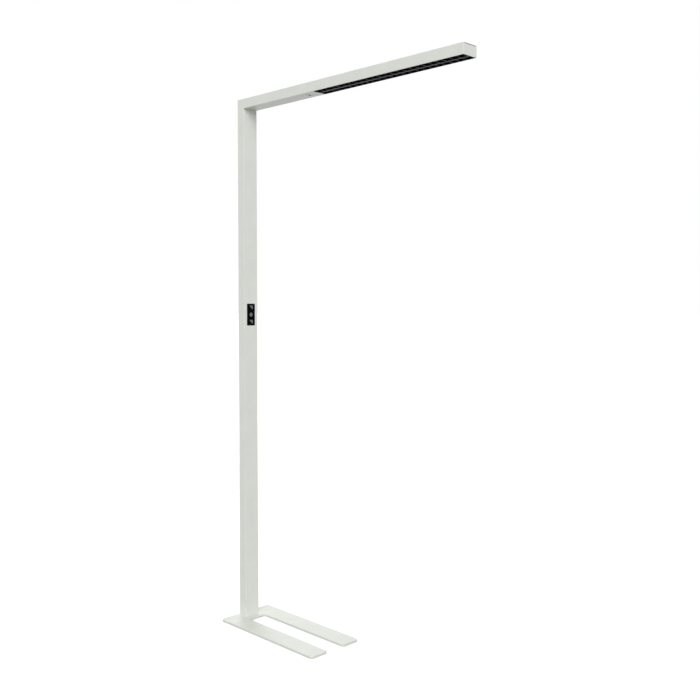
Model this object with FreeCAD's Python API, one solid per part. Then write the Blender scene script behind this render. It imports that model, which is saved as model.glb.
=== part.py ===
import FreeCAD, Part
import math
import os

from FreeCAD import Vector

# Office floor lamp: a U-shaped steel base plate, a post and a mitred arm of one flat
# aluminium profile, a black cell louvre under the arm and an opal cover on top of it.
# The origin is on the floor, on the axis of the post. +X runs along the arm, +Z is up.

# ---- Driving sizes, in millimetres ----

overall_height = 1950.0

# The aluminium profile that post and arm are cut from: its wide side lies along Y.
profile_width = 62.0
profile_depth = 35.0
profile_wall = 2.0
profile_edge_radius = 0.8
ledge_depth = 5.0
ledge_thickness = 1.6

# Base plate, open towards +X like a fork, on thin rubber strips.
base_length = 500.0
base_width = 224.0
base_thickness = 8.0
base_slot_width = 74.0
base_crossbar = 73.0
base_post_setback = 25.0
base_corner_radius = 10.0
base_slot_radius = 8.0
base_edge_bevel = 0.8
strip_thickness = 1.5
strip_inset = 6.0
strip_corner_bevel = 3.0
strip_gap = 8.0

# Foot of the post.
foot_block_height = 70.0
foot_channel_width = 18.0
foot_channel_depth = 15.0
base_screw_radius = 3.0
base_screw_length = 26.0
base_screw_head_radius = 5.8
base_screw_head_height = 3.2
base_screw_spacing_x = 14.0
base_screw_spacing_y = 40.0
foot_screw_radius = 2.5
foot_screw_length = 10.0
foot_screw_head_radius = 4.6
foot_screw_head_height = 2.4
foot_screw_height = 46.0
foot_screw_spacing = 38.0
inlet_height = 22.0
inlet_bore_radius = 3.6
inlet_wall = 1.8
inlet_flange_width = 2.0
inlet_flange_thickness = 1.5

# Mitred corner.
corner_leg_length = 55.0
corner_passage = 22.0
corner_passage_width = 36.0
corner_bevel = 3.0

# Arm: closed neck first, then the lit length of equal louvre cells.
neck_length = 382.5
window_lip = 5.0
cell_count = 24
cell_pitch = 26.5
louvre_recess = 0.4
louvre_depth = 8.5
louvre_flange_width = 2.2
louvre_flange_thickness = 1.4
louvre_rail = 1.2
louvre_blade = 2.2
louvre_rib = 7.0
louvre_roof = 1.2
cell_draft = 0.5
throat_size = 10.0
lens_plate_thickness = 1.2
lens_plate_width = 44.0
lens_base_size = 9.2
lens_tip_size = 5.0
lens_height = 2.0
led_size = 3.5
led_height = 0.7
board_thickness = 1.6
downlight_board_width = 34.0
uplight_board_width = 40.0
uplight_row_spacing = 20.0
carrier_wall = 2.0
carrier_box_width = 40.0
carrier_screw_radius = 1.4
carrier_screw_length = 3.4
carrier_screw_head_radius = 2.3
carrier_screw_head_height = 1.6
cover_thickness = 3.0
cover_recess = 0.2
cover_flange_width = 2.4
cover_flange_thickness = 1.5
cover_leg_thickness = 1.5
cover_leg_length = 30.0
cover_leg_count = 6
cap_thickness = 4.0
cap_bevel = 0.5
cap_blade_length = 18.0
cap_blade_thickness = 1.8
cap_blade_height = 9.0

# Converter in the neck and presence sensor under it.
driver_length = 200.0
driver_width = 42.0
driver_height = 21.0
driver_end_length = 16.0
driver_end_drop = 4.0
driver_pad_thickness = 1.0
driver_offset = 3.0
sensor_setback = 59.0
sensor_ring_radius = 11.0
sensor_ring_thickness = 0.8
sensor_ring_bevel = 0.5
sensor_collar_radius = 9.8
sensor_collar_height = 5.0
sensor_lens_radius = 7.6
sensor_lens_drop = 3.4
sensor_lens_flange = 1.3
sensor_lens_flange_thickness = 0.8
sensor_board_size = 26.0
sensor_zone_angles = [0, 28, 54, 76]

# Control panel on the inner face of the post.
panel_height = 1151.0
panel_width = 37.0
panel_length = 82.0
panel_corner_radius = 2.5
panel_proud = 0.8
panel_flange = 1.5
panel_plate_thickness = 1.8
panel_collar_depth = 3.0
panel_collar_wall = 1.0
panel_edge_bevel = 0.3
panel_hole_bevel = 0.4
key_pitch = 27.0
key_width = 27.0
key_length = 22.0
key_proud = 0.4
key_corner_radius = 1.2
key_edge_bevel = 0.28
key_travel = 0.8
key_flange_width = 1.0
key_flange_thickness = 1.0
key_stem_length = 2.0
key_stem_size = 5.0
switch_size = 6.0
switch_body_height = 2.4
switch_plunger_height = 1.1
switch_plunger_radius = 1.7
boss_radius = 1.7
boss_spacing_y = 20.0
board_screw_radius = 0.9
board_screw_length = 5.0
board_screw_head_radius = 1.7
board_screw_head_height = 1.2
control_board_width = 30.0
control_board_length = 76.0
connector_width = 9.0
connector_depth = 5.0
connector_length = 7.0
connector_offset = 29.0
lead_radius = 2.0
lead_bend_radius = 20.0

# Sockets of the screws, as shares of their shank's radius and their head's height.
socket_width_share = 0.9
socket_depth_share = 0.6

# Sides of the bars and holes that small round things are made with.
fastener_sides = 8
round_part_sides = 24

# Fits.
slide_fit = 0.3
push_fit = 0.2
screw_clearance = 0.1
key_clearance = 0.25
key_stop_gap = 0.1

# ---- Places that follow from the sizes ----

plate_bottom = strip_thickness
plate_top = plate_bottom + base_thickness
base_rear = -base_post_setback
base_front = base_rear + base_length
slot_root = base_rear + base_crossbar

half_depth = profile_depth / 2
half_width = profile_width / 2
cavity_half_depth = half_depth - profile_wall
cavity_half_width = half_width - profile_wall
ledge_inner = cavity_half_width - ledge_depth

arm_bottom = overall_height - profile_depth
arm_axis = overall_height - half_depth
arm_floor = arm_bottom + profile_wall
arm_roof = overall_height - profile_wall
window_start = half_depth + neck_length
lit_length = cell_count * cell_pitch
arm_end = window_start + lit_length + slide_fit
arm_tip = arm_end + cap_thickness
window_half_width = half_width - window_lip
louvre_half_width = window_half_width - slide_fit
cell_length = cell_pitch - louvre_blade
cell_width = louvre_half_width - louvre_rail - louvre_rib / 2
row_places = [side * (louvre_rib + cell_width) / 2 for side in (-1, 1)]

louvre_bottom = arm_bottom + louvre_recess
louvre_top = louvre_bottom + louvre_depth
louvre_roof_bottom = louvre_top - louvre_roof
lens_bottom = louvre_top + screw_clearance
lens_top = lens_bottom + lens_plate_thickness
downlight_board_bottom = lens_top + led_height
carrier_bottom = downlight_board_bottom + board_thickness
carrier_seat = arm_axis + ledge_thickness / 2
carrier_top = carrier_seat + carrier_wall
uplight_board_top = carrier_top + board_thickness

inlet_z = plate_top + inlet_height
foot_screw_z = plate_top + foot_screw_height
inlet_hole_radius = inlet_bore_radius + inlet_wall
inlet_flange_radius = inlet_hole_radius + inlet_flange_width

sensor_x = window_start - sensor_setback
driver_start = half_depth + corner_leg_length + driver_offset
driver_bottom = arm_floor + driver_pad_thickness

panel_front = half_depth + panel_proud
panel_plate_back = panel_front - panel_plate_thickness
collar_back = half_depth - panel_collar_depth
collar_half_width = panel_width / 2 - panel_flange
collar_half_length = panel_length / 2 - panel_flange
key_flange_front = panel_plate_back - key_stop_gap
key_flange_back = key_flange_front - key_flange_thickness
key_stem_end = key_flange_back - key_stem_length
switch_top = key_stem_end - key_travel - key_stop_gap
control_board_front = switch_top - switch_plunger_height - switch_body_height
control_board_back = control_board_front - board_thickness
lead_x = control_board_back - connector_depth / 2
lead_z = driver_bottom + driver_height - driver_end_drop - lead_radius - slide_fit
cell_centres = [window_start + (i + 0.5) * cell_pitch for i in range(cell_count)]
key_rows = {"key_brighter": key_pitch, "key_power": 0.0, "key_dimmer": -key_pitch}


# ---- Small shapes that several pieces are made of ----

def block(x0, x1, y0, y1, z0, z1):
    """Rectangular solid between two corners."""
    return Part.makeBox(x1 - x0, y1 - y0, z1 - z0, Vector(x0, y0, z0))


def rod(radius, length, start, direction=Vector(0, 0, 1)):
    return Part.makeCylinder(radius, length, start, direction)


def between(lower, upper):
    """Solid with flat sides from one outline to another whose corners keep step with it."""
    count = len(lower)
    sides = [[lower[i - 1], lower[i], upper[i], upper[i - 1]] for i in range(count)]
    faces = [Part.Face(Part.makePolygon(corners + corners[:1])) for corners in [lower, upper] + sides]
    return Part.makeSolid(Part.makeShell(faces))


def faceted(radius, length, start, direction=Vector(0, 0, 1), sides=fastener_sides, end_radius=None):
    """Bar with flat sides instead of a round one, tapered where its end has another radius."""
    turns = [2 * math.pi * i / sides for i in range(sides)]
    lower, upper = [[Vector(ring_radius * math.cos(turn), ring_radius * math.sin(turn), z) for turn in turns]
                    for ring_radius, z in ((radius, 0), (end_radius or radius, length))]
    solid = between(lower, upper)
    solid.Placement = FreeCAD.Placement(start, FreeCAD.Rotation(Vector(0, 0, 1), direction))
    return solid


def tapered_block(x, y, lower, upper):
    """Solid between two level rectangles round x and y, each given by its half sizes and height."""
    outlines = [[Vector(x + a * half_x, y + b * half_y, z) for a, b in ((-1, -1), (1, -1), (1, 1), (-1, 1))]
                for half_x, half_y, z in (lower, upper)]
    return between(outlines[0], outlines[1])


def joined(shapes):
    """One solid from overlapping or touching ones, without the seams between them."""
    return shapes[0].multiFuse(shapes[1:]).removeSplitter()


def cut_all(shape, tools):
    return shape.cut(Part.makeCompound(tools))


def prism(points, direction):
    """Solid swept along direction from the closed outline through points."""
    outline = Part.makePolygon(points + points[:1])
    return Part.Face(outline).extrude(direction)


def edges_along(shape, axis):
    """Straight edges of shape that run along the given axis."""
    found = []
    for edge in shape.Edges:
        if len(edge.Vertexes) == 2 and isinstance(edge.Curve, (Part.Line, Part.LineSegment)):
            run = edge.Vertexes[1].Point.sub(edge.Vertexes[0].Point)
            if run.normalize().cross(axis).Length < 1e-6:
                found.append(edge)
    return found


def edges_in_plane(shape, axis, position):
    """Edges that lie wholly in the plane across axis at position."""
    found = []
    for edge in shape.Edges:
        box = edge.BoundBox
        low, high = ((box.XMin, box.XMax), (box.YMin, box.YMax), (box.ZMin, box.ZMax))[axis]
        if abs(low - position) < 1e-4 and abs(high - position) < 1e-4:
            found.append(edge)
    return found


def rounded_block(x0, x1, y0, y1, z0, z1, radius, axis):
    """Block whose edges along axis are rounded."""
    solid = block(x0, x1, y0, y1, z0, z1)
    return solid.makeFillet(radius, edges_along(solid, axis))


def screw(radius, length, head_radius, head_height, start, direction, sunk):
    """Screw with a hexagon socket. Start is the head's outer face, direction points to the tip."""
    outer_face = Vector(0, 0, 0)
    head = faceted(head_radius, head_height, outer_face, end_radius=radius if sunk else head_radius)
    shank = faceted(radius, head_height + length, outer_face)
    socket = faceted(radius * socket_width_share, head_height * socket_depth_share, outer_face, sides=6)
    solid = joined([head, shank]).cut(socket)
    solid.Placement = FreeCAD.Placement(start, FreeCAD.Rotation(Vector(0, 0, 1), direction))
    return solid


def four_corners(spacing_a, spacing_b):
    return [(a * spacing_a / 2, b * spacing_b / 2) for a in (-1, 1) for b in (-1, 1)]


# ---- Base ----

def base_outline_solid():
    """The fork-shaped plate with rounded tips, outer corners and slot corners."""
    outer = base_width / 2
    inner = base_slot_width / 2
    points = [(base_rear, -outer), (base_front, -outer), (base_front, -inner), (slot_root, -inner),
              (slot_root, inner), (base_front, inner), (base_front, outer), (base_rear, outer)]
    plate = prism([Vector(x, y, plate_bottom) for x, y in points], Vector(0, 0, base_thickness))
    outside = [e for e in edges_along(plate, Vector(0, 0, 1)) if abs(e.BoundBox.Center.x - slot_root) > 1e-4]
    plate = plate.makeFillet(base_corner_radius, outside)
    upright = edges_along(plate, Vector(0, 0, 1))
    in_slot = [e for e in upright if abs(e.BoundBox.Center.x - slot_root) < 1e-4]
    plate = plate.makeFillet(base_slot_radius, in_slot)
    return plate.makeChamfer(base_edge_bevel, edges_in_plane(plate, 2, plate_top))


def base_screw_places():
    return four_corners(base_screw_spacing_x, base_screw_spacing_y)


def base_plate():
    """Steel plate with four countersunk holes under the post."""
    hole_radius = base_screw_radius + push_fit
    head_radius = base_screw_head_radius + push_fit
    head_height = base_screw_head_height + push_fit
    holes = []
    for x, y in base_screw_places():
        holes.append(faceted(hole_radius, base_thickness, Vector(x, y, plate_bottom)))
        holes.append(faceted(head_radius, head_height, Vector(x, y, plate_bottom), end_radius=hole_radius))
    return cut_all(base_outline_solid(), holes)


def anti_slip_strips():
    """Three rubber strips: one across the back and one along each prong."""
    edge = base_width / 2 - strip_inset
    slot_edge = base_slot_width / 2 + strip_inset
    rear_end = slot_root - strip_inset
    prong_start = rear_end + strip_gap
    prong_end = base_front - strip_inset
    spans = [(base_rear + strip_inset, rear_end, -edge, edge),
             (prong_start, prong_end, -edge, -slot_edge),
             (prong_start, prong_end, slot_edge, edge)]
    strips = []
    for x0, x1, y0, y1 in spans:
        strip = block(x0, x1, y0, y1, 0, strip_thickness)
        strips.append(strip.makeChamfer(strip_corner_bevel, edges_along(strip, Vector(0, 0, 1))))
    return Part.makeCompound(strips)


def base_screws():
    start_z = plate_bottom + push_fit
    return Part.makeCompound([screw(base_screw_radius, base_screw_length, base_screw_head_radius,
                                    base_screw_head_height, Vector(x, y, start_z), Vector(0, 0, 1), True)
                              for x, y in base_screw_places()])


# ---- Post ----

def profile(length):
    """Hollow profile along Z with an inner ledge halfway up each narrow wall."""
    tube = rounded_block(-half_depth, half_depth, -half_width, half_width, 0, length,
                         profile_edge_radius, Vector(0, 0, 1))
    cavity = block(-cavity_half_depth, cavity_half_depth, -cavity_half_width, cavity_half_width, 0, length)
    half_ledge = ledge_thickness / 2
    ledges = [block(-half_ledge, half_ledge, ledge_inner, cavity_half_width, 0, length),
              block(-half_ledge, half_ledge, -cavity_half_width, -ledge_inner, 0, length)]
    return tube.cut(cut_all(cavity, ledges))


def mitre_wedge(keep_post):
    """The half space beyond the mitre, as a large triangle swept across the profile's width."""
    reach = 2 * profile_depth
    outer = Vector(-half_depth - reach, -profile_width, overall_height + reach)
    inner = Vector(half_depth + reach, -profile_width, arm_bottom - reach)
    corner = Vector(inner.x, inner.y, outer.z) if keep_post else Vector(outer.x, outer.y, inner.z)
    return prism([outer, inner, corner], Vector(0, 2 * profile_width, 0))


def foot_screw_places():
    return [(y, foot_screw_z) for y in (-foot_screw_spacing / 2, foot_screw_spacing / 2)]


def post_profile():
    """Upright profile, mitred at the top, cut out for the control panel and the cord inlet."""
    tube = profile(overall_height - plate_top)
    tube.translate(Vector(0, 0, plate_top))
    window_width = collar_half_width + push_fit
    window_length = collar_half_length + push_fit
    cuts = [mitre_wedge(True),
            block(0, profile_depth, -window_width, window_width, panel_height - window_length,
                  panel_height + window_length),
            faceted(inlet_hole_radius, profile_wall, Vector(-half_depth, 0, inlet_z), Vector(1, 0, 0),
                    round_part_sides)]
    for y, z in foot_screw_places():
        cuts.append(faceted(foot_screw_radius + push_fit, profile_wall, Vector(-half_depth, y, z),
                            Vector(1, 0, 0)))
    return cut_all(tube, cuts)


def ledge_grooves(length, start):
    """Grooves along Z that let an insert slide past the profile's ledges."""
    half = ledge_thickness / 2 + slide_fit
    inner = ledge_inner - slide_fit
    return [block(-half, half, inner, half_width, start, start + length),
            block(-half, half, -half_width, -inner, start, start + length)]


def foot_block():
    """Solid insert in the foot of the post, open at the back for the cord."""
    half_x = cavity_half_depth - slide_fit
    half_y = cavity_half_width - slide_fit
    body = block(-half_x, half_x, -half_y, half_y, plate_top, plate_top + foot_block_height)
    channel_half = foot_channel_width / 2
    cuts = ledge_grooves(foot_block_height, plate_top)
    cuts.append(block(-half_x, foot_channel_depth - half_x, -channel_half, channel_half, plate_top,
                      plate_top + foot_block_height))
    thread_depth = base_screw_length + screw_clearance
    for x, y in base_screw_places():
        cuts.append(faceted(base_screw_radius + screw_clearance, thread_depth, Vector(x, y, plate_top)))
    for y, z in foot_screw_places():
        cuts.append(faceted(foot_screw_radius + screw_clearance, foot_screw_length, Vector(-half_x, y, z),
                            Vector(1, 0, 0)))
    return cut_all(body, cuts)


def foot_screws():
    start_x = -half_depth - foot_screw_head_height
    return Part.makeCompound([screw(foot_screw_radius, foot_screw_length, foot_screw_head_radius,
                                    foot_screw_head_height, Vector(start_x, y, z), Vector(1, 0, 0), False)
                              for y, z in foot_screw_places()])


def cable_grommet():
    """Rubber grommet in the rear wall: two flanges with the wall between them, and the cord's bore."""
    outside = -half_depth - inlet_flange_thickness
    total = profile_wall + 2 * inlet_flange_thickness
    along = Vector(1, 0, 0)
    flanges = [faceted(inlet_flange_radius, inlet_flange_thickness, Vector(x, 0, inlet_z), along,
                       round_part_sides) for x in (outside, -cavity_half_depth)]
    neck = faceted(inlet_hole_radius, total, Vector(outside, 0, inlet_z), along, round_part_sides)
    return joined(flanges + [neck]).cut(rod(inlet_bore_radius, total, Vector(outside, 0, inlet_z), along))


def corner_shape(half_thickness, half_span, post_end, arm_far_end):
    """Right-angled bar that follows the post's axis up and the arm's axis out."""
    lower = arm_axis - half_thickness
    upper = arm_axis + half_thickness
    points = [(-half_thickness, post_end), (half_thickness, post_end), (half_thickness, lower),
              (arm_far_end, lower), (arm_far_end, upper), (-half_thickness, upper)]
    return prism([Vector(x, -half_span, z) for x, z in points], Vector(0, 2 * half_span, 0))


def corner_key():
    """Hollow right-angled insert that joins the mitred profiles from inside."""
    half_thickness = cavity_half_depth - slide_fit
    half_span = cavity_half_width - slide_fit
    post_end = arm_bottom - corner_leg_length
    arm_far_end = half_depth + corner_leg_length
    body = corner_shape(half_thickness, half_span, post_end, arm_far_end)
    heel = [e for e in edges_along(body, Vector(0, 1, 0))
            if e.BoundBox.Center.x < -half_thickness + 1e-4 and e.BoundBox.Center.z > arm_axis]
    body = body.makeChamfer(corner_bevel, heel)
    passage = corner_shape(corner_passage / 2, corner_passage_width / 2, post_end, arm_far_end)
    groove_half = ledge_thickness / 2 + slide_fit
    groove_inner = ledge_inner - slide_fit
    cuts = [passage] + ledge_grooves(arm_axis + groove_half - post_end, post_end)
    for y0, y1 in ((groove_inner, half_width), (-half_width, -groove_inner)):
        cuts.append(block(-groove_half, arm_far_end, y0, y1, arm_axis - groove_half, arm_axis + groove_half))
    return cut_all(body, cuts)


# ---- Arm ----

def arm_profile():
    """Mitred profile along X with the louvre's window below and the cover's window above."""
    tube = profile(arm_end + half_depth)
    tube.rotate(Vector(0, 0, 0), Vector(0, 1, 0), 90)
    tube.translate(Vector(-half_depth, 0, arm_axis))
    cuts = [mitre_wedge(False),
            block(window_start, arm_end, -window_half_width, window_half_width, arm_bottom, arm_floor),
            block(window_start, arm_end, -window_half_width, window_half_width, arm_roof, overall_height),
            faceted(sensor_collar_radius + push_fit, profile_wall, Vector(sensor_x, 0, arm_bottom),
                    sides=round_part_sides)]
    for x, y in carrier_screw_places():
        cuts.append(faceted(carrier_screw_radius + screw_clearance, ledge_thickness,
                            Vector(x, y, arm_axis - ledge_thickness / 2)))
    return cut_all(tube, cuts)


def cell_cuts(x, y):
    """One cell: walls with a little draft, under a roof with a square hole for the lens."""
    half_x = cell_length / 2
    half_y = cell_width / 2
    half_throat = throat_size / 2
    return [tapered_block(x, y, (half_x, half_y, louvre_bottom),
                          (half_x - cell_draft, half_y - cell_draft, louvre_roof_bottom)),
            block(x - half_throat, x + half_throat, y - half_throat, y + half_throat, louvre_roof_bottom,
                  louvre_top)]


def louvre():
    """Black cell louvre: a deep tray in the window, hung on two flanges, with two rows of square cells."""
    start = window_start + slide_fit
    end = window_start + lit_length
    flange_half = window_half_width + louvre_flange_width
    tray = block(start, end, -louvre_half_width, louvre_half_width, louvre_bottom, louvre_top)
    flange = block(start, end, -flange_half, flange_half, arm_floor, arm_floor + louvre_flange_thickness)
    cuts = [cut for x in cell_centres for y in row_places for cut in cell_cuts(x, y)]
    return cut_all(joined([tray, flange]), cuts)


def lens_strip():
    """Clear strip over the cells, with a square lens that tapers down through the roof of each."""
    start = window_start + slide_fit
    end = window_start + lit_length
    base_half = lens_base_size / 2
    tip_half = lens_tip_size / 2
    plate = block(start, end, -lens_plate_width / 2, lens_plate_width / 2, lens_bottom, lens_top)
    tip = (tip_half, tip_half, lens_bottom - lens_height)
    base = (base_half, base_half, lens_bottom)
    lenses = [tapered_block(x, y, tip, base) for x in cell_centres for y in row_places]
    return joined([plate] + lenses)


def led_row(y, z):
    half = led_size / 2
    return [block(x - half, x + half, y - half, y + half, z, z + led_height) for x in cell_centres]


def downlight_leds():
    return Part.makeCompound([led for y in row_places for led in led_row(y, lens_top)])


def downlight_board():
    return block(window_start + slide_fit, window_start + lit_length, -downlight_board_width / 2,
                 downlight_board_width / 2, downlight_board_bottom, carrier_bottom)


def carrier_screw_places():
    """Screws between the cover's legs, over the middle of each ledge."""
    y = ledge_inner + ledge_depth / 2
    return [(window_start + lit_length * i / cover_leg_count, side * y)
            for i in range(1, cover_leg_count, 2) for side in (-1, 1)]


def led_carrier():
    """Extruded heat sink: a plate on the ledges with a shallow box under it for the lower board."""
    start = window_start + slide_fit
    end = window_start + lit_length
    half_plate = cavity_half_width - slide_fit
    half_box = carrier_box_width / 2
    plate = block(start, end, -half_plate, half_plate, carrier_seat, carrier_top)
    box = block(start, end, -half_box, half_box, carrier_bottom, carrier_seat)
    duct = block(start, end, carrier_wall - half_box, half_box - carrier_wall, carrier_bottom + carrier_wall,
                 carrier_seat)
    holes = [faceted(carrier_screw_radius + screw_clearance, carrier_wall, Vector(x, y, carrier_seat))
             for x, y in carrier_screw_places()]
    return cut_all(joined([plate, box.cut(duct)]), holes)


def carrier_screws():
    head_top = carrier_top + carrier_screw_head_height
    down = Vector(0, 0, -1)
    return Part.makeCompound([screw(carrier_screw_radius, carrier_screw_length, carrier_screw_head_radius,
                                    carrier_screw_head_height, Vector(x, y, head_top), down, False)
                              for x, y in carrier_screw_places()])


def uplight_board():
    return block(window_start + slide_fit, window_start + lit_length, -uplight_board_width / 2,
                 uplight_board_width / 2, carrier_top, uplight_board_top)


def uplight_leds():
    return Part.makeCompound([led for side in (-1, 1)
                              for led in led_row(side * uplight_row_spacing / 2, uplight_board_top)])


def opal_cover():
    """Cover of the upper window, held under its lips by legs that stand on the carrier."""
    start = window_start + slide_fit
    end = window_start + lit_length
    half = louvre_half_width
    top = overall_height - cover_recess
    flange_half = window_half_width + cover_flange_width
    flange_bottom = arm_roof - cover_flange_thickness
    leg_inner = flange_half - cover_leg_thickness
    shapes = [block(start, arm_tip, -half, half, top - cover_thickness, top),
              block(start, end, -flange_half, flange_half, flange_bottom, arm_roof)]
    for i in range(cover_leg_count):
        middle = start + (end - start) * (i + 0.5) / cover_leg_count
        for y0, y1 in ((leg_inner, flange_half), (-flange_half, -leg_inner)):
            shapes.append(block(middle - cover_leg_length / 2, middle + cover_leg_length / 2, y0, y1,
                                carrier_top, flange_bottom))
    return joined(shapes)


def end_cap():
    """End plate with a notch for the opal cover and two blades that grip the side walls inside."""
    plate = rounded_block(arm_end, arm_tip, -half_width, half_width, arm_bottom, overall_height,
                          profile_edge_radius, Vector(1, 0, 0))
    plate = plate.makeChamfer(cap_bevel, edges_in_plane(plate, 0, arm_tip))
    blade_outer = cavity_half_width - push_fit
    blade_inner = blade_outer - cap_blade_thickness
    blade_top = arm_axis - ledge_thickness / 2 - slide_fit
    blade_start = arm_end - cap_blade_length
    for y0, y1 in ((blade_inner, blade_outer), (-blade_outer, -blade_inner)):
        plate = plate.fuse(block(blade_start, arm_end, y0, y1, blade_top - cap_blade_height, blade_top))
    notch_bottom = overall_height - cover_recess - cover_thickness - push_fit
    notch = block(arm_end, arm_tip, -window_half_width, window_half_width, notch_bottom, overall_height)
    return plate.cut(notch).removeSplitter()


# ---- Converter and sensor in the neck ----

def led_driver():
    """Converter case with a lowered terminal cover at each end."""
    half = driver_width / 2
    end = driver_start + driver_length
    body = rounded_block(driver_start, end, -half, half, driver_bottom, driver_bottom + driver_height,
                         profile_edge_radius, Vector(1, 0, 0))
    top = driver_bottom + driver_height
    steps = [block(driver_start, driver_start + driver_end_length, -half, half, top - driver_end_drop, top),
             block(end - driver_end_length, end, -half, half, top - driver_end_drop, top)]
    return cut_all(body, steps)


def driver_pad():
    half = driver_width / 2 - slide_fit
    start = driver_start + driver_end_length
    end = driver_start + driver_length - driver_end_length
    return block(start, end, -half, half, arm_floor, driver_bottom)


def sensor_ring():
    """Ring round the sensor lens: a thin flange under the arm and a collar through its floor."""
    flange_bottom = arm_bottom - sensor_ring_thickness
    flange = faceted(sensor_ring_radius - sensor_ring_bevel, sensor_ring_thickness,
                     Vector(sensor_x, 0, flange_bottom), sides=round_part_sides,
                     end_radius=sensor_ring_radius)
    collar = faceted(sensor_collar_radius, sensor_collar_height, Vector(sensor_x, 0, arm_bottom),
                     sides=round_part_sides)
    bore = faceted(sensor_lens_radius + push_fit, sensor_collar_height + sensor_ring_thickness,
                   Vector(sensor_x, 0, flange_bottom), sides=round_part_sides)
    return joined([flange, collar]).cut(bore)


def sensor_lens():
    """Domed lens cut in rings of flat windows, with a flange that hangs on the ring's collar."""
    shoulder = arm_bottom - sensor_ring_thickness
    collar_top = arm_bottom + sensor_collar_height
    zones = []
    for lower, upper in zip(sensor_zone_angles[1:], sensor_zone_angles):
        low_angle = math.radians(lower)
        high_angle = math.radians(upper)
        bottom = shoulder - sensor_lens_drop * math.sin(low_angle)
        top = shoulder - sensor_lens_drop * math.sin(high_angle)
        zones.append(faceted(sensor_lens_radius * math.cos(low_angle), top - bottom,
                             Vector(sensor_x, 0, bottom), sides=round_part_sides,
                             end_radius=sensor_lens_radius * math.cos(high_angle)))
    barrel = faceted(sensor_lens_radius, collar_top - shoulder, Vector(sensor_x, 0, shoulder),
                     sides=round_part_sides)
    flange = faceted(sensor_lens_radius + sensor_lens_flange, sensor_lens_flange_thickness,
                     Vector(sensor_x, 0, collar_top), sides=round_part_sides)
    return joined(zones + [barrel, flange])


def sensor_board():
    half = sensor_board_size / 2
    bottom = arm_bottom + sensor_collar_height + sensor_lens_flange_thickness
    return block(sensor_x - half, sensor_x + half, -half, half, bottom, bottom + board_thickness)


# ---- Control panel ----

def boss_places():
    return four_corners(boss_spacing_y, key_pitch)


def control_bezel():
    """Black frame: a thin flange on the post, a collar through its wall and bosses for the board."""
    along = Vector(1, 0, 0)
    half_y = panel_width / 2
    half_z = panel_length / 2
    flange = rounded_block(half_depth, panel_front, -half_y, half_y, panel_height - half_z,
                           panel_height + half_z, panel_corner_radius, along)
    flange = flange.makeChamfer(panel_edge_bevel, edges_in_plane(flange, 0, panel_front))
    collar = rounded_block(collar_back, half_depth, -collar_half_width, collar_half_width,
                           panel_height - collar_half_length, panel_height + collar_half_length,
                           panel_corner_radius - panel_flange, along)
    pocket_y = collar_half_width - panel_collar_wall
    pocket_z = collar_half_length - panel_collar_wall
    pocket = block(collar_back, panel_plate_back, -pocket_y, pocket_y, panel_height - pocket_z,
                   panel_height + pocket_z)
    bosses = [faceted(boss_radius, panel_plate_back - control_board_front,
                      Vector(control_board_front, y, panel_height + z), along) for y, z in boss_places()]
    frame = joined([joined([flange, collar]).cut(pocket)] + bosses)
    hole_y = key_width / 2 + key_clearance
    hole_z = key_length / 2 + key_clearance
    cuts = []
    for row in key_rows.values():
        hole = block(panel_plate_back, panel_front, -hole_y, hole_y, panel_height + row - hole_z,
                     panel_height + row + hole_z)
        cuts.append(hole.makeChamfer(panel_hole_bevel, edges_along(hole, along)))
    for y, z in boss_places():
        cuts.append(faceted(board_screw_radius + screw_clearance, board_screw_length,
                            Vector(control_board_front, y, panel_height + z), along))
    return cut_all(frame, cuts)


def push_key(row):
    """Key cap with side flanges that stop behind the frame and a stem over its switch."""
    along = Vector(1, 0, 0)
    z = panel_height + row
    half_y = key_width / 2
    half_z = key_length / 2
    face = panel_front + key_proud
    cap = rounded_block(key_flange_back, face, -half_y, half_y, z - half_z, z + half_z, key_corner_radius,
                        along)
    cap = cap.makeChamfer(key_edge_bevel, edges_in_plane(cap, 0, face))
    flange_y = half_y + key_flange_width
    flange_z = half_z - key_corner_radius
    flange = block(key_flange_back, key_flange_front, -flange_y, flange_y, z - flange_z, z + flange_z)
    stem_half = key_stem_size / 2
    stem = block(key_stem_end, key_flange_back, -stem_half, stem_half, z - stem_half, z + stem_half)
    return joined([cap, flange, stem])


def control_board():
    half_y = control_board_width / 2
    half_z = control_board_length / 2
    board = block(control_board_back, control_board_front, -half_y, half_y, panel_height - half_z,
                  panel_height + half_z)
    holes = [faceted(board_screw_radius + push_fit, board_thickness,
                     Vector(control_board_back, y, panel_height + z), Vector(1, 0, 0))
             for y, z in boss_places()]
    return cut_all(board, holes)


def board_screws():
    return Part.makeCompound([screw(board_screw_radius, board_screw_length, board_screw_head_radius,
                                    board_screw_head_height,
                                    Vector(control_board_back - board_screw_head_height, y, panel_height + z),
                                    Vector(1, 0, 0), False) for y, z in boss_places()])


def tact_switches():
    """One small switch behind each key."""
    half = switch_size / 2
    switches = []
    for row in key_rows.values():
        z = panel_height + row
        body = block(control_board_front, control_board_front + switch_body_height, -half, half, z - half,
                     z + half)
        plunger = faceted(switch_plunger_radius, switch_plunger_height,
                          Vector(control_board_front + switch_body_height, 0, z), Vector(1, 0, 0))
        switches.append(joined([body, plunger]))
    return Part.makeCompound(switches)


def lead_connector():
    z = panel_height + connector_offset
    return block(control_board_back - connector_depth, control_board_back, -connector_width / 2,
                 connector_width / 2, z - connector_length / 2, z + connector_length / 2)


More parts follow.
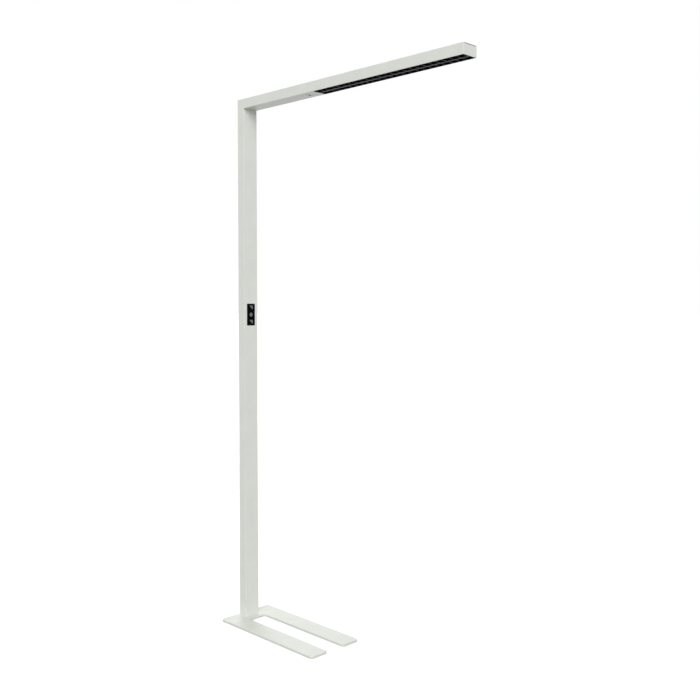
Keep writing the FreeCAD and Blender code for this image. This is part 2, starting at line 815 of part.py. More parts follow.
def control_lead():
    """Lead from the control board up the post and round the corner to the converter."""
    start_z = panel_height + connector_offset + connector_length / 2
    bend_centre = Vector(lead_x + lead_bend_radius, 0, lead_z - lead_bend_radius)
    bend_start = Vector(lead_x, 0, bend_centre.z)
    bend_end = Vector(bend_centre.x, 0, lead_z)
    diagonal = lead_bend_radius * math.sqrt(0.5)
    bend_middle = Vector(bend_centre.x - diagonal, 0, bend_centre.z + diagonal)
    path = Part.Wire([Part.makeLine(Vector(lead_x, 0, start_z), bend_start),
                      Part.Arc(bend_start, bend_middle, bend_end).toShape(),
                      Part.makeLine(bend_end, Vector(driver_start, 0, lead_z))])
    turns = [2 * math.pi * i / fastener_sides for i in range(fastener_sides + 1)]
    ring = Part.makePolygon([Vector(lead_x + lead_radius * math.cos(turn), lead_radius * math.sin(turn),
                                    start_z) for turn in turns])
    return path.makePipeShell([ring], True, False)


# ---- Every piece, under the name it is kept by ----

pieces = {
    "base_plate": base_plate(),
    "anti_slip_strips": anti_slip_strips(),
    "base_screws": base_screws(),
    "foot_block": foot_block(),
    "foot_screws": foot_screws(),
    "post_profile": post_profile(),
    "cable_grommet": cable_grommet(),
    "corner_key": corner_key(),
    "arm_profile": arm_profile(),
    "louvre": louvre(),
    "lens_strip": lens_strip(),
    "downlight_leds": downlight_leds(),
    "downlight_board": downlight_board(),
    "led_carrier": led_carrier(),
    "carrier_screws": carrier_screws(),
    "uplight_board": uplight_board(),
    "uplight_leds": uplight_leds(),
    "opal_cover": opal_cover(),
    "end_cap": end_cap(),
    "led_driver": led_driver(),
    "driver_pad": driver_pad(),
    "sensor_ring": sensor_ring(),
    "sensor_lens": sensor_lens(),
    "sensor_board": sensor_board(),
    "control_bezel": control_bezel(),
    "control_board": control_board(),
    "board_screws": board_screws(),
    "tact_switches": tact_switches(),
    "lead_connector": lead_connector(),
    "control_lead": control_lead(),
}
for key_name, key_row in key_rows.items():
    pieces[key_name] = push_key(key_row)

os.makedirs("parts", exist_ok=True)
for piece_name, piece in pieces.items():
    piece.exportStep(f"parts/{piece_name}.step")
    volume = piece.Volume / 1000
    print(f"{piece_name:18s} solids {len(piece.Solids):3d}  volume {volume:9.2f} cm3  "
          f"valid {piece.isValid()}")
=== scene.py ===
import math

import bmesh
import bpy
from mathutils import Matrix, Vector


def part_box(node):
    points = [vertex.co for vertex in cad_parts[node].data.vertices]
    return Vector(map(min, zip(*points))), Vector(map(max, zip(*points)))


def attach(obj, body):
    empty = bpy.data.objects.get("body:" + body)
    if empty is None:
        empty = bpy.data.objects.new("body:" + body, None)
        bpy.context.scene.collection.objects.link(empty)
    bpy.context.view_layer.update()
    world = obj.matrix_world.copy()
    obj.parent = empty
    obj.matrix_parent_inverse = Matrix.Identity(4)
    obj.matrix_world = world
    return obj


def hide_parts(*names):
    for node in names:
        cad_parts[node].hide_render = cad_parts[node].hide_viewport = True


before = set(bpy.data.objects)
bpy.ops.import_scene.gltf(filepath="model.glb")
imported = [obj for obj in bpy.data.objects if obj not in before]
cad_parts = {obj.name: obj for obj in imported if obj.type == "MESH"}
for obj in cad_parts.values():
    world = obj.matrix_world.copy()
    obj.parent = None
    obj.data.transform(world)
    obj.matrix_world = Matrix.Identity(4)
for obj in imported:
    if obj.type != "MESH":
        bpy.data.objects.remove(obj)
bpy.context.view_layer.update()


# ---- Camera ----
# The camera stands a little over three metres from the post, at chest height, on the side of the arm's free
# end. Its lens sits a little low in the mount, so the post stays upright in the picture.

camera_yaw = math.radians(135.112)
camera_pitch = math.radians(-2.127)
looking = Vector((math.cos(camera_yaw) * math.cos(camera_pitch),
                  math.sin(camera_yaw) * math.cos(camera_pitch),
                  math.sin(camera_pitch)))
camera = bpy.data.objects.new("camera", bpy.data.cameras.new("camera"))
camera.location = (2.6297, -2.0761, 1.2067)
camera.rotation_euler = looking.to_track_quat("-Z", "Y").to_euler()
camera.data.sensor_width = 36.0
camera.data.lens = 45.35
camera.data.shift_y = -0.025
camera.data.clip_end = 200.0
bpy.context.scene.collection.objects.link(camera)
bpy.context.scene.camera = camera
bpy.context.scene.view_settings.view_transform = "Standard"


# ---- Studio ----
# A wide pale floor under an even white sky, one very large cloth lamp high behind the camera, a smaller one
# high behind the object, and two weak low ones at its rear and its far side. Floor and sky look plain white,
# while the light that they give back is softer, so undersides stay a shade darker.

def wired(tree, kind, inputs, **settings):
    """A shader node whose inputs are set to numbers or wired to the outputs of other nodes."""
    node = tree.nodes.new(kind)
    for name, value in settings.items():
        setattr(node, name, value)
    for key, value in inputs.items():
        if isinstance(value, bpy.types.NodeSocket):
            tree.links.new(value, node.inputs[key])
        else:
            node.inputs[key].default_value = value
    return node


def seen_by_eye(tree):
    """One where a ray comes from the camera, a mirror or a glass, and zero for the light on the object."""
    path = wired(tree, "ShaderNodeLightPath", {})
    direct = path.outputs["Is Camera Ray"]
    mirrored = path.outputs["Is Glossy Ray"]
    through = path.outputs["Is Transmission Ray"]
    either = wired(tree, "ShaderNodeMath", {0: direct, 1: mirrored}, operation="MAXIMUM").outputs[0]
    return wired(tree, "ShaderNodeMath", {0: either, 1: through}, operation="MAXIMUM").outputs[0]


def grey(level):
    """An even grey as a light value, where 1 is white."""
    return (level, level, level, 1.0)


sky_level = 0.36
sky = bpy.data.worlds.new("studio_sky")
bpy.context.scene.world = sky
sky.use_nodes = True
sky_tree = sky.node_tree
sky_tree.nodes.clear()
sky_light = wired(sky_tree, "ShaderNodeBackground", {"Color": grey(1.0), "Strength": sky_level})
sky_white = wired(sky_tree, "ShaderNodeBackground", {"Color": grey(1.0), "Strength": 1.0})
sky_mix = wired(sky_tree, "ShaderNodeMixShader",
                {0: seen_by_eye(sky_tree), 1: sky_light.outputs[0], 2: sky_white.outputs[0]})
wired(sky_tree, "ShaderNodeOutputWorld", {"Surface": sky_mix.outputs[0]})

# The light on the object meets a floor of floor_return. The eye sees floor_white, with a glow that grows away
# from the foot, so the floor looks plain white and keeps the shadow round the foot.
floor_reach = 60.0
floor_return = 0.37
floor_white = 0.42
floor_glow_near, floor_glow_far = 0.72, 1.0
floor_glow_from, floor_glow_to = 1.0, 6.0
floor_mesh = bpy.data.meshes.new("studio_floor")
floor_mesh.from_pydata([(-floor_reach, -floor_reach, 0), (floor_reach, -floor_reach, 0),
                        (floor_reach, floor_reach, 0), (-floor_reach, floor_reach, 0)], [], [(0, 1, 2, 3)])
floor = bpy.data.objects.new("studio_floor", floor_mesh)
bpy.context.scene.collection.objects.link(floor)
floor_paper = bpy.data.materials.new("studio_floor")
floor_paper.use_nodes = True
paper_tree = floor_paper.node_tree
paper_tree.nodes.clear()
paper_grey = wired(paper_tree, "ShaderNodeBsdfDiffuse", {"Color": grey(floor_return)})
paper_white = wired(paper_tree, "ShaderNodeBsdfDiffuse", {"Color": grey(floor_white)})
paper_place = wired(paper_tree, "ShaderNodeTexCoord", {}).outputs["Object"]
paper_reach = wired(paper_tree, "ShaderNodeVectorMath", {0: paper_place}, operation="LENGTH").outputs["Value"]
paper_level = wired(paper_tree, "ShaderNodeMapRange",
                    {"Value": paper_reach, "From Min": floor_glow_from, "From Max": floor_glow_to,
                     "To Min": floor_glow_near, "To Max": floor_glow_far}).outputs[0]
paper_glow = wired(paper_tree, "ShaderNodeEmission", {"Color": grey(1.0), "Strength": paper_level})
paper_seen = wired(paper_tree, "ShaderNodeAddShader", {0: paper_white.outputs[0], 1: paper_glow.outputs[0]})
paper_mix = wired(paper_tree, "ShaderNodeMixShader",
                  {0: seen_by_eye(paper_tree), 1: paper_grey.outputs[0], 2: paper_seen.outputs[0]})
wired(paper_tree, "ShaderNodeOutputMaterial", {"Surface": paper_mix.outputs[0]})
floor_mesh.materials.append(floor_paper)


def softbox(name, bearing, height, distance, aim, width, level):
    """Square cloth lamp at a bearing and height in degrees, seen from aim. Level is the light it puts on a
    surface there that faces it, where an open white sky puts 1."""
    bearing, height = math.radians(bearing), math.radians(height)
    flat_reach = math.cos(height)
    away = Vector((math.cos(bearing) * flat_reach, math.sin(bearing) * flat_reach, math.sin(height)))
    lamp = bpy.data.lights.new(name, "AREA")
    lamp.size = width
    lamp.energy = level * math.pi ** 2 * distance ** 2
    stand = bpy.data.objects.new(name, lamp)
    stand.location = Vector(aim) + away * distance
    stand.rotation_euler = (-away).to_track_quat("-Z", "Y").to_euler()
    stand.visible_camera = False
    bpy.context.scene.collection.objects.link(stand)


softbox("front_softbox", bearing=-45.0, height=30.0, distance=20.0, aim=(0.3, 0.0, 1.0),
        width=16.0, level=1.02)
softbox("back_softbox", bearing=146.0, height=43.0, distance=8.0, aim=(0.2, 0.0, 0.4),
        width=3.0, level=0.32)
softbox("rear_softbox", bearing=180.0, height=17.0, distance=8.0, aim=(0.2, 0.0, 0.8),
        width=4.0, level=0.12)
softbox("side_softbox", bearing=80.0, height=17.0, distance=8.0, aim=(0.2, 0.0, 0.8),
        width=4.0, level=0.12)


# ---- Base plate ----
# A fork-shaped steel plate, eight millimetres thick, laser cut, its upper edge broken by a small bevel,
# then powder coated in the pale grey-green that the whole lamp has.

def seen(red, green, blue):
    """The light value of a colour given as it looks on a screen, each part from 0 to 255."""
    parts = [part / 255 for part in (red, green, blue)]
    return [p / 12.92 if p <= 0.04045 else ((p + 0.055) / 1.055) ** 2.4 for p in parts] + [1.0]


def finish(name, colour, roughness, metal=0.0):
    """A material with one shader, and that shader."""
    material = bpy.data.materials.new(name)
    material.use_nodes = True
    shader = material.node_tree.nodes["Principled BSDF"]
    shader.inputs["Base Color"].default_value = colour
    shader.inputs["Roughness"].default_value = roughness
    shader.inputs["Metallic"].default_value = metal
    return material, shader


def mottle(tree, patch, detail=2.0, drawn=(1.0, 1.0, 1.0)):
    """Soft pattern of patches about patch metres wide. Drawn below 1 stretches them along that axis."""
    place = wired(tree, "ShaderNodeTexCoord", {})
    spread = wired(tree, "ShaderNodeMapping", {"Vector": place.outputs["Object"], "Scale": drawn})
    return wired(tree, "ShaderNodeTexNoise",
                 {"Vector": spread.outputs[0], "Scale": 1 / patch, "Detail": detail}).outputs[0]


def share_from(tree, value, start, end):
    """Zero up to start, one from end on, and even in between."""
    return wired(tree, "ShaderNodeMapRange", {"Value": value, "From Min": start, "From Max": end}).outputs[0]


def mixed(tree, share, first, second):
    """The first colour where the share is zero and the second where it is one."""
    return wired(tree, "ShaderNodeMix", {0: share, 6: first, 7: second}, data_type="RGBA").outputs[2]


mottle_low, mottle_high = 0.3, 0.7


def between(tree, pattern, low, high):
    """Values or colours from low to high, over the range that a mottle's values mostly keep to."""
    if isinstance(low, float):
        return wired(tree, "ShaderNodeMapRange",
                     {"Value": pattern, "From Min": mottle_low, "From Max": mottle_high,
                      "To Min": low, "To Max": high}).outputs[0]
    return mixed(tree, share_from(tree, pattern, mottle_low, mottle_high), low, high)


def relief(tree, shader, pattern, depth):
    """Raises the surface by depth metres where the pattern is one."""
    bump = wired(tree, "ShaderNodeBump", {"Height": pattern, "Distance": depth, "Strength": 1.0})
    tree.links.new(bump.outputs[0], shader.inputs["Normal"])


def powder_coat(name, colour, deeper, gloss):
    """Baked powder paint: fine orange peel, faint clouds in its colour and a slightly uneven satin gloss."""
    material, shader = finish(name, colour, roughness=0.42)
    shader.inputs["Specular IOR Level"].default_value = gloss
    tree = material.node_tree
    clouds = mottle(tree, patch=0.06, detail=4.0)
    tree.links.new(between(tree, clouds, deeper, colour), shader.inputs["Base Color"])
    peel = mottle(tree, patch=0.0011, detail=3.0)
    tree.links.new(between(tree, peel, low=0.38, high=0.47), shader.inputs["Roughness"])
    relief(tree, shader, peel, depth=0.00002)
    return material


def dress(node_name, material):
    """Puts a material on a solid of the lamp that keeps its own shape."""
    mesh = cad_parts[node_name].data
    mesh.materials.clear()
    mesh.materials.append(material)


paint_light = seen(218, 221, 214)
paint_deep = seen(214, 217, 210)
dress("base_plate", powder_coat("steel_paint", paint_light, paint_deep, gloss=0.22))


# ---- Anti-slip strips ----
# Thin black rubber strips glued under the plate, one across its back and one under each prong.
# They are die cut from sheet with a fine cloth mark on it.

rubber_grain_share = 0.15


def rubber(name, colour, dusty, grain):
    """Dull rubber with a fine pressed grain, whose depth is a share of its width, and a bloom in patches."""
    material, shader = finish(name, colour, roughness=0.75)
    tree = material.node_tree
    bloom = mottle(tree, patch=0.012, detail=3.0)
    tree.links.new(between(tree, bloom, colour, dusty), shader.inputs["Base Color"])
    relief(tree, shader, mottle(tree, grain), depth=grain * rubber_grain_share)
    return material


dress("anti_slip_strips", rubber("strip_rubber", seen(44, 44, 44), seen(58, 57, 56), grain=0.0008))


# ---- Screws ----
# Zinc-plated steel screws with a hexagon socket: four countersunk ones up through the plate into the foot
# block, two with a cylinder head in the rear of the post, and small ones that hold the carrier of the light
# boards on its ledges and the key board in its frame.

def bare_metal(name, colour, darker, roughness, drawn=(1.0, 1.0, 1.0)):
    """Bare metal with the fine lines of drawing or turning and a slightly uneven tone."""
    material, shader = finish(name, colour, roughness, metal=1.0)
    tree = material.node_tree
    lines = mottle(tree, patch=0.0006, detail=3.0, drawn=drawn)
    tone = mottle(tree, patch=0.02, detail=3.0)
    tree.links.new(between(tree, tone, darker, colour), shader.inputs["Base Color"])
    polished, dull = roughness - 0.08, roughness + 0.1
    tree.links.new(between(tree, lines, polished, dull), shader.inputs["Roughness"])
    relief(tree, shader, lines, depth=0.000008)
    return material


def loop_round(start, along, radius, depth, sides=48, hexagon=False):
    """Loop of points round an axis, at a depth from its start, on a circle or on the hexagon inside it."""
    over = along.orthogonal().normalized()
    across = along.cross(over)
    points = []
    for i in range(sides):
        turn = 2 * math.pi * i / sides
        reach = radius
        if hexagon:
            reach *= math.cos(math.pi / 6) / math.cos(turn % (math.pi / 3) - math.pi / 6)
        points.append(start + along * depth + (over * math.cos(turn) + across * math.sin(turn)) * reach)
    return points


def loft(form, loops, closed_ends=False):
    """Skin of quads from each closed loop of points to the next, with a face on both ends if wanted."""
    rows = [[form.verts.new(point) for point in loop] for loop in loops]
    for low, high in zip(rows, rows[1:]):
        for i in range(len(low)):
            form.faces.new([low[i - 1], low[i], high[i], high[i - 1]])
    if closed_ends:
        form.faces.new(rows[0])
        form.faces.new(rows[-1])


def finished_piece(name, form, material, body, smooth_below=35.0):
    """Turns the built form into an object of the lamp, smooth where its faces meet at a flat angle."""
    bmesh.ops.remove_doubles(form, verts=form.verts, dist=0.000002)
    bmesh.ops.recalc_face_normals(form, faces=form.faces)
    for face in form.faces:
        face.smooth = True
    for edge in form.edges:
        edge.smooth = edge.is_manifold and edge.calc_face_angle() < math.radians(smooth_below)
    mesh = bpy.data.meshes.new(name)
    form.to_mesh(mesh)
    form.free()
    mesh.materials.append(material)
    piece = bpy.data.objects.new(name, mesh)
    bpy.context.scene.collection.objects.link(piece)
    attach(piece, body)
    return piece


def socket_screw(form, start, along, radius, length, head_radius, head_height, sunk):
    """One screw: start is the outer face of its head, along points to its tip."""
    break_edge = head_height * 0.12
    socket = radius * 0.9
    socket_floor, socket_mouth = socket * 0.98, socket * 1.08
    socket_depth = head_height * 0.6
    tip_radius, tip_length = radius * 0.7, radius * 0.3
    loops = [loop_round(start, along, socket_floor, socket_depth, hexagon=True),
             loop_round(start, along, socket, break_edge, hexagon=True),
             loop_round(start, along, socket_mouth, 0.0, hexagon=True),
             loop_round(start, along, head_radius - break_edge, 0.0),
             loop_round(start, along, head_radius, break_edge)]
    if not sunk:
        loops.append(loop_round(start, along, head_radius, head_height))
    loops += [loop_round(start, along, radius, head_height),
              loop_round(start, along, radius, head_height + length - tip_length),
              loop_round(start, along, tip_radius, head_height + length)]
    loft(form, loops, closed_ends=True)


zinc = bare_metal("zinc_steel", seen(196, 199, 202), seen(170, 174, 180), roughness=0.3)
for screws in ("carrier_screws", "board_screws"):
    dress(screws, zinc)

screw_low, screw_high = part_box("base_screws")
plate_head_radius, plate_head_height, plate_screw_radius = 0.0058, 0.0032, 0.0030
plate_head_rim = plate_head_radius * 0.93
plate_thread = screw_high.z - screw_low.z - plate_head_height
plate_screw_form = bmesh.new()
for x in (screw_low.x + plate_head_radius, screw_high.x - plate_head_radius):
    for y in (screw_low.y + plate_head_radius, screw_high.y - plate_head_radius):
        socket_screw(plate_screw_form, Vector((x, y, screw_low.z)), Vector((0, 0, 1)), plate_screw_radius,
                     plate_thread, plate_head_rim, plate_head_height, sunk=True)
plate_screws = finished_piece("plate_screws", plate_screw_form, zinc, "lamp")
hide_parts("base_screws")

screw_low, screw_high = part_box("foot_screws")
post_head_radius, post_head_height, post_screw_radius = 0.0046, 0.0024, 0.0025
post_thread = screw_high.x - screw_low.x - post_head_height
post_screw_form = bmesh.new()
for y in (screw_low.y + post_head_radius, screw_high.y - post_head_radius):
    post_screw_start = Vector((screw_low.x, y, (screw_low.z + screw_high.z) / 2))
    socket_screw(post_screw_form, post_screw_start, Vector((1, 0, 0)), post_screw_radius,
                 post_thread, post_head_radius, post_head_height, sunk=False)
post_screws = finished_piece("post_screws", post_screw_form, zinc, "lamp")
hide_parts("foot_screws")


# ---- Foot block and corner key ----
# Two aluminium inserts, sawn to length: one stands in the foot of the post and takes the screws of the plate,
# the other is the hollow right-angled key inside the mitred corner. Both keep the long lines of extruding.

bright_aluminium = seen(206, 208, 210)
sawn_aluminium = seen(188, 190, 193)
dress("foot_block", bare_metal("upright_aluminium", bright_aluminium, sawn_aluminium, roughness=0.36,
                               drawn=(1.0, 1.0, 0.02)))
dress("corner_key", bare_metal("corner_aluminium", bright_aluminium, sawn_aluminium, roughness=0.4,
                               drawn=(1.0, 0.05, 1.0)))


# ---- Post, arm and end cap ----
# One flat aluminium profile, 62 by 35 millimetres, cut with a mitre and turned a quarter for the arm.
# A cast cap closes the free end. All three are powder coated together.

profile_paint = powder_coat("profile_paint", paint_light, paint_deep, gloss=0.45)
for coated in ("post_profile", "arm_profile", "end_cap"):
    dress(coated, profile_paint)


# ---- Inlet grommet ----
# A moulded rubber bush snapped into a hole low in the rear wall of the post. The wall sits in a groove round
# it, its outer lip is rounded and its bore is widened towards the outside.

inlet_low, inlet_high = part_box("cable_grommet")
inlet_start = Vector((inlet_low.x, 0.0, (inlet_low.z + inlet_high.z) / 2))
bush_radius, bush_end = 0.0074, 0.0050
groove_radius, groove_start, groove_end = 0.0054, 0.0015, 0.0035
bore_radius, bore_mouth, bore_exit = 0.0036, 0.0046, 0.0040
bush_outer_lip = [(bore_mouth, 0.0), (0.0065, 0.0), (0.0071, 0.00025), (bush_radius, 0.0008),
                  (bush_radius, groove_start), (groove_radius, groove_start)]
bush_inner_lip = [(groove_radius, groove_end), (bush_radius, groove_end), (bush_radius, 0.0045),
                  (0.0069, bush_end), (bore_exit, bush_end)]
bush_bore = [(bore_radius, 0.0046), (bore_radius, 0.0010), (0.0039, 0.0004), (bore_mouth, 0.0)]
bush_form = bmesh.new()
loft(bush_form, [loop_round(inlet_start, Vector((1, 0, 0)), radius, depth, sides=64)
                 for radius, depth in bush_outer_lip + bush_inner_lip + bush_bore])
bush_rubber = rubber("grommet_rubber", seen(38, 38, 39), seen(50, 50, 51), grain=0.0005)
inlet_bush = finished_piece("inlet_bush", bush_form, bush_rubber, "lamp",
                            smooth_below=50.0)
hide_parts("cable_grommet")


# ---- Louvre ----
# One long black moulding with two rows of 24 square cells, parted by thin blades and a broad middle rib. Each
# cell has steep walls under a roof with a square throat. It is held in the arm's lower window by a flange on
# each side, and a thin lip laps under the window's edges.

# The tray is the moulding inside the window, with a rail along each side and the rib in its middle. A blade
# parts two cells of a row, and the laps carry the lip on past the first and the last cell.
cell_count = 24
cell_pitch = 0.0265
louvre_low, louvre_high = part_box("louvre")
arm_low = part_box("arm_profile")[0].z
lit_start = louvre_high.x - cell_count * cell_pitch
lit_ends = (louvre_low.x, louvre_high.x)
tray_half, tray_rail, tray_rib, blade = 0.0257, 0.0012, 0.0070, 0.0022
lip_half, lip_thickness = 0.0295, 0.00012
lap_to_post, lap_to_tip, lap_joint = 0.0040, 0.0024, 0.00001
louvre_bottom = arm_low - lip_thickness
row_middle = (tray_rib / 2 + tray_half - tray_rail) / 2
mouth_x = (cell_pitch - blade) / 2
mouth_y = (tray_half - tray_rail - tray_rib / 2) / 2
cell_corner, edge_round, wall_draft, roof_fillet, roof_thickness = 0.0014, 0.0004, 0.0005, 0.0010, 0.0012
throat_half, throat_corner, throat_edge = 0.0050, 0.0010, 0.0002
arm_wall, flange_thickness = 0.002, 0.0014
flange_bottom = arm_low + arm_wall
flange_top = flange_bottom + flange_thickness
arc_steps = 6
side_step = 0.0003
quarter_angles = (0, 30, 60, 90)


def ring(centre, half_x, half_y, corner, z):
    """Rounded rectangle as a loop of points, with an arc on each corner."""
    points = []
    for corner_x, corner_y, first in ((1, 1, 0), (-1, 1, 90), (-1, -1, 180), (1, -1, 270)):
        for step in range(arc_steps + 1):
            angle = math.radians(first + 90 * step / arc_steps)
            points.append(Vector((centre[0] + corner_x * (half_x - corner) + corner * math.cos(angle),
                                  centre[1] + corner_y * (half_y - corner) + corner * math.sin(angle), z)))
    return points


def border(centre_x, edge_y, z):
    """The rectangle from the middle of the strip to edge_y that a cell takes up, with as many points as a
    ring and one exactly on each corner."""
    low_y, high_y = sorted((0.0, edge_y))
    points = []
    middle = arc_steps // 2
    for corner_x, corner_y, upright_first in ((1, 1, True), (-1, 1, False), (-1, -1, True), (1, -1, False)):
        x = centre_x + corner_x * cell_pitch / 2
        y = high_y if corner_y > 0 else low_y
        for step in range(arc_steps + 1):
            before = max(middle - step, 0) * side_step
            after = max(step - middle, 0) * side_step
            along_y, along_x = (before, after) if upright_first else (after, before)
            points.append(Vector((max(x - corner_x * along_x, lit_ends[0]), y - corner_y * along_y, z)))
    return points


def cell_loops(centre_x, side):
    """Loops of one cell from its border over the rounded edge, up the wall and through the roof."""
    centre = (centre_x, side * row_middle)
    wall_top = louvre_high.z - roof_thickness
    loops = [border(centre_x, side * lip_half, louvre_bottom)]
    for angle in quarter_angles:
        out = edge_round * (1 - math.sin(math.radians(angle)))
        loops.append(ring(centre, mouth_x + out, mouth_y + out, cell_corner + out,
                          louvre_bottom + edge_round * (1 - math.cos(math.radians(angle)))))
    for angle in quarter_angles:
        inset = wall_draft + roof_fillet * (1 - math.cos(math.radians(angle)))
        loops.append(ring(centre, mouth_x - inset, mouth_y - inset, cell_corner,
                          wall_top - roof_fillet * (1 - math.sin(math.radians(angle)))))
    for out, z in ((throat_edge, wall_top), (0.0, wall_top + throat_edge), (0.0, louvre_high.z)):
        loops.append(ring(centre, throat_half + out, throat_half + out, throat_corner + out, z))
    loops.append(border(centre_x, side * tray_half, louvre_high.z))
    return loops


def close_sides(form, section):
    """Outer walls along both sides and over both ends of a strip whose cells are already in form. Section
    holds the Y and Z of one outer wall from its bottom to its top."""
    bottom, top = (border(lit_start + cell_pitch / 2, y, z) for y, z in (section[0], section[-1]))
    steps = sorted({round(point.x - lit_start, 7) for point in bottom} | {0.0})
    stops = sorted({round(max(lit_start + cell * cell_pitch + step, lit_ends[0]), 7)
                    for cell in range(cell_count) for step in steps})
    for side in (-1, 1):
        for (y0, z0), (y1, z1) in zip(section, section[1:]):
            for x0, x1 in zip(stops, stops[1:]):
                quad = [(x0, side * y0, z0), (x1, side * y0, z0), (x1, side * y1, z1), (x0, side * y1, z1)]
                form.faces.new([form.verts.new(point) for point in quad])
    across_bottom, across_top = (sorted({round(side * point.y, 7) for point in loop for side in (-1, 1)})
                                 for loop in (bottom, top))
    for x in lit_ends:
        outline = [(x, y, section[0][1]) for y in across_bottom]
        outline += [(x, y, z) for y, z in section[1:-1]]
        outline += [(x, y, section[-1][1]) for y in reversed(across_top)]
        outline += [(x, -y, z) for y, z in reversed(section[1:-1])]
        form.faces.new([form.verts.new(point) for point in outline])


def cell_places():
    """The middle of each cell along the arm, and the side that its row lies on."""
    return [(lit_start + (cell + 0.5) * cell_pitch, side) for cell in range(cell_count) for side in (-1, 1)]


louvre_form = bmesh.new()
for centre_x, side in cell_places():
    loft(louvre_form, cell_loops(centre_x, side))
close_sides(louvre_form, [(lip_half, louvre_bottom), (lip_half, arm_low), (tray_half, arm_low),
                          (tray_half, flange_bottom), (louvre_high.y, flange_bottom),
                          (louvre_high.y, flange_top), (tray_half, flange_top), (tray_half, louvre_high.z)])
# Each lap is a closed strip of its own, a hundredth of a millimetre clear of the cells.
for lap_low, lap_high in ((lit_ends[0] - lap_to_post, lit_ends[0] - lap_joint),
                          (lit_ends[1] + lap_joint, lit_ends[1] + lap_to_tip)):
    lap_corners = [(lap_low, -lip_half), (lap_high, -lip_half), (lap_high, lip_half), (lap_low, lip_half)]
    loft(louvre_form, [[Vector((x, y, z)) for x, y in lap_corners] for z in (louvre_bottom, arm_low)],
         closed_ends=True)


def moulded_black(name, gloss):
    """Black moulding material with faint flow marks, and the gloss that its surface has from the mould."""
    material, shader = finish(name, seen(7, 7, 9), roughness=0.3)
    shader.inputs["Specular IOR Level"].default_value = gloss
    tree = material.node_tree
    flow = mottle(tree, patch=0.004, detail=3.0)
    tree.links.new(between(tree, flow, seen(5, 5, 7), seen(9, 9, 12)), shader.inputs["Base Color"])
    grain = mottle(tree, patch=0.0007)
    tree.links.new(between(tree, grain, low=0.26, high=0.36), shader.inputs["Roughness"])
    relief(tree, shader, flow, depth=0.00001)
    return material


louvre_black = moulded_black("louvre_black", gloss=0.04)
cell_louvre = finished_piece("cell_louvre", louvre_form, louvre_black, "lamp")
cell_louvre.data.materials.append(moulded_black("lip_black", gloss=0.0))
# The lip beside the cells and the laps beyond them take the black without gloss.
for face in cell_louvre.data.polygons:
    beside = abs(face.center.y) > tray_half - tray_rail
    beyond = not lit_ends[0] <= face.center.x <= lit_ends[1]
    if (beside or beyond) and face.center.z < arm_low:
        face.material_index = 1
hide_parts("louvre")


# ---- Lens strip ----
# One strip of clear acrylic, injection moulded, with a square domed lens that hangs into every throat of the
# louvre. It is held between the louvre and the light points above it.

def clear_plastic(name, colour, roughness, clearness):
    """Clear moulding material with a faint ripple in its surface."""
    material, shader = finish(name, colour, roughness)
    shader.inputs["Transmission Weight"].default_value = clearness
    shader.inputs["IOR"].default_value = 1.49
    tree = material.node_tree
    relief(tree, shader, mottle(tree, patch=0.003), depth=0.00001)
    haze = mottle(tree, patch=0.002)
    tree.links.new(between(tree, haze, roughness, roughness + 0.05), shader.inputs["Roughness"])
    return material


lens_low, lens_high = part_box("lens_strip")
lens_half, lens_drop = 0.0046, 0.0020
plate_under = lens_low.z + lens_drop
dome_angles = (0, 15, 30, 45, 60, 75, 86)
rim_corner_share, crown_corner_gain = 0.2, 0.7


def lens_loops(centre_x, side):
    """Loops of one lens from the border of its part of the strip down over the dome, from square to round."""
    loops = [border(centre_x, side * lens_high.y, plate_under)]
    for angle in dome_angles:
        half = lens_half * math.cos(math.radians(angle))
        corner = half * (rim_corner_share + crown_corner_gain * angle / 90)
        loops.append(ring((centre_x, side * row_middle), half, half, corner,
                          plate_under - lens_drop * math.sin(math.radians(angle))))
    return loops


lens_form = bmesh.new()
for centre_x, side in cell_places():
    lens_rows = lens_loops(centre_x, side)
    loft(lens_form, lens_rows)
    lens_form.faces.new([lens_form.verts.new(point) for point in lens_rows[-1]])
    lens_form.faces.new([lens_form.verts.new((point.x, point.y, lens_high.z)) for point in lens_rows[0]])
close_sides(lens_form, [(lens_high.y, plate_under), (lens_high.y, lens_high.z)])
lens_acrylic = clear_plastic("clear_lens", seen(240, 244, 246), roughness=0.03, clearness=0.92)
lens_plate = finished_piece("lens_plate", lens_form, lens_acrylic, "lamp")
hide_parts("lens_strip")


# ---- Light points ----
# Small white chip housings with a round yellow phosphor window, one over each cell and as many for the
# uplight, soldered to long boards with a white solder mask over thin copper tracks.

phosphor_radius, phosphor_edge = 0.00115, 0.0013
uplight_row = 0.010


